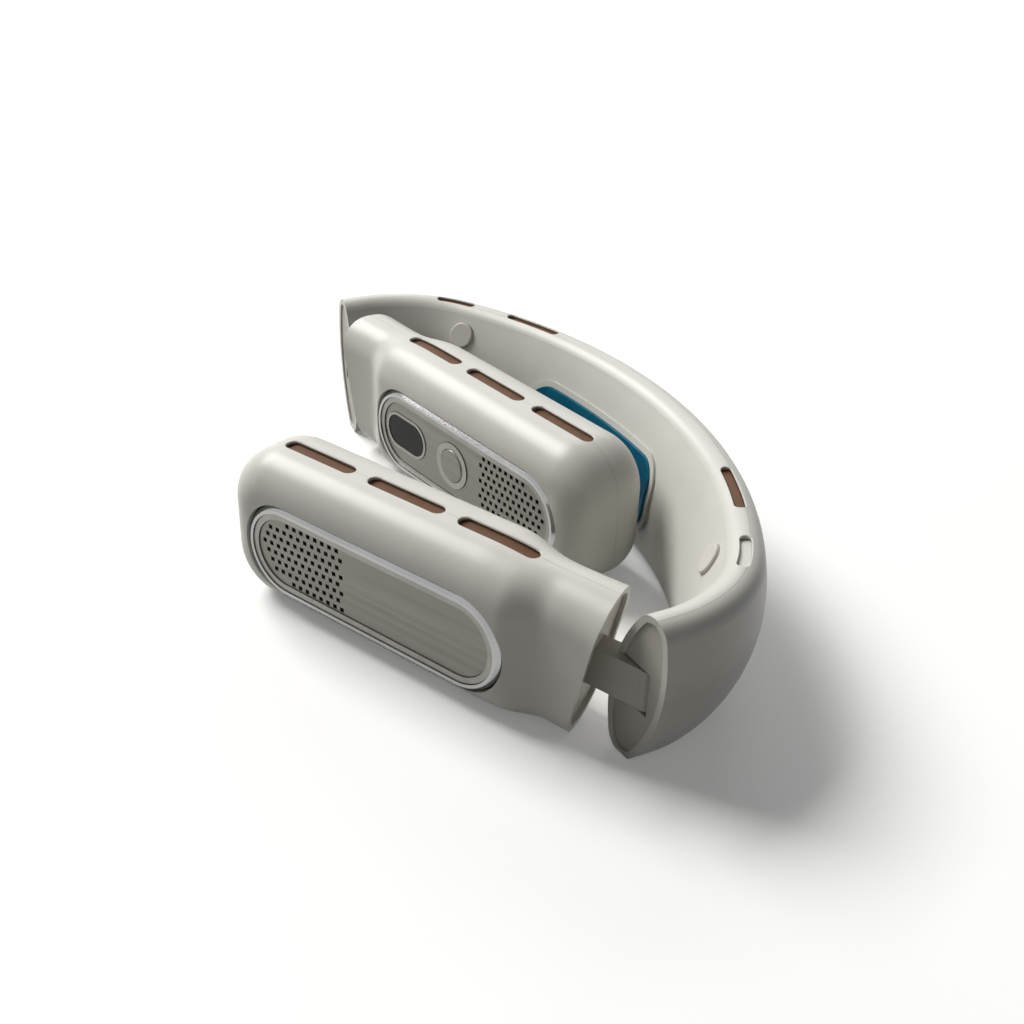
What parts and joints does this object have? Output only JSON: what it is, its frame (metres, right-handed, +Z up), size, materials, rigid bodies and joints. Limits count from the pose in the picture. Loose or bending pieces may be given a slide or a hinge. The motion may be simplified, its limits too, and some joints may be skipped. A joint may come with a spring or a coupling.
{
  "type": "neck fan",
  "caption": "Folding neck fan: rigid leaning oval band with a cold plate at the nape and two hinged blower arms with slotted tops and framed grille panels.",
  "frame": {"origin": "middle of the folded object's box in X and Y, on the surface it rests on", "axes": "+Z up; +X towards the end that carries the outer arm; -Y towards the opening, +Y towards the nape"},
  "size_m": [0.213, 0.1323, 0.045],
  "materials": {
    "ivory_shell": "satin moulded plastic",
    "grey_plastic": "fine matte moulding",
    "dark_plastic": "matte moulding",
    "brown_plastic": "matte moulding",
    "chrome_trim": "bright plated",
    "satin_trim": "satin anodised",
    "brushed_panel": "brushed lengthwise",
    "blue_plate": "blue anodised",
    "black_window": "polished",
    "steel": "turned",
    "ceramic": "glazed ceramic",
    "sink_metal": "extruded",
    "board": "coated laminate",
    "cell_wrap": "shrink film",
    "soft_pad": "soft silicone"
  },
  "bodies": {
    "band": {"band_duct_strips": "brown_plastic", "band_inner_shell": "ivory_shell", "band_outer_shell": "ivory_shell", "band_screws": "steel", "bumper_pads": "soft_pad", "charging_socket": "steel", "cold_plate": "blue_plate", "cold_plate_bezel": "ivory_shell", "control_board": "board", "far_end_plate": "grey_plastic", "far_hinge_bracket": "grey_plastic", "far_hinge_pin": "steel", "heat_sink": "sink_metal", "near_end_plate": "grey_plastic", "near_hinge_bracket": "grey_plastic", "near_hinge_pin": "steel", "sink_fan_frame": "dark_plastic", "thermoelectric_module": "ceramic"},
    "near_arm": {"near_arm_screws": "steel", "near_back_shell": "ivory_shell", "near_blower_housing": "dark_plastic", "near_cell": "cell_wrap", "near_chrome_ring": "chrome_trim", "near_duct_strip": "brown_plastic", "near_front_shell": "ivory_shell", "near_hinge_tongue": "grey_plastic", "near_motor": "steel", "near_panel": "brushed_panel", "near_panel_tray": "dark_plastic", "near_root_plate": "grey_plastic", "near_satin_ring": "satin_trim"},
    "far_arm": {"button_ring": "satin_trim", "button_switch": "dark_plastic", "display_board": "board", "display_rim": "satin_trim", "display_window": "black_window", "far_arm_screws": "steel", "far_back_shell": "ivory_shell", "far_blower_housing": "dark_plastic", "far_cell": "cell_wrap", "far_chrome_ring": "chrome_trim", "far_duct_strip": "brown_plastic", "far_front_shell": "ivory_shell", "far_hinge_tongue": "grey_plastic", "far_motor": "steel", "far_panel": "brushed_panel", "far_panel_tray": "dark_plastic", "far_root_plate": "grey_plastic", "far_satin_ring": "satin_trim"},
    "near_impeller": {"near_impeller": "dark_plastic"},
    "far_impeller": {"far_impeller": "dark_plastic"},
    "sink_rotor": {"sink_fan_rotor": "dark_plastic"},
    "power_button": {"power_button": "brushed_panel"}
  },
  "joints": [
    {"name": "near_arm_hinge", "type": "hinge", "parent": "band", "child": "near_arm", "pos_m": [0.09632, 0.00028, 0.0225], "axis": [0, 0, 1], "range_deg": [0, 64.4]},
    {"name": "far_arm_hinge", "type": "hinge", "parent": "band", "child": "far_arm", "pos_m": [-0.09632, 0.00028, 0.0225], "axis": [0, 0, -1], "range_deg": [0, 102.4]},
    {"name": "near_blower_spin", "type": "hinge", "parent": "near_arm", "child": "near_impeller", "pos_m": [0.0047, -0.04362, 0.0202], "axis": [0.4321, -0.9018, 0], "continuous": true},
    {"name": "far_blower_spin", "type": "hinge", "parent": "far_arm", "child": "far_impeller", "pos_m": [0.00291, 0.0221, 0.0202], "axis": [0.2147, -0.9767, 0], "continuous": true},
    {"name": "sink_fan_spin", "type": "hinge", "parent": "band", "child": "sink_rotor", "pos_m": [-0.01132, 0.05895, 0.01841], "axis": [-0.075, 0.9753, -0.2079], "continuous": true},
    {"name": "power_button_press", "type": "slide", "parent": "far_arm", "child": "power_button", "axis": [-0.2147, 0.9767, 0], "range_m": [0, 0.0006], "stiffness_N_per_m": 800}
  ],
  "couplings": [
    {"joint": "far_arm_hinge", "follows": "near_arm_hinge", "ratio": 1.5901}
  ]
}
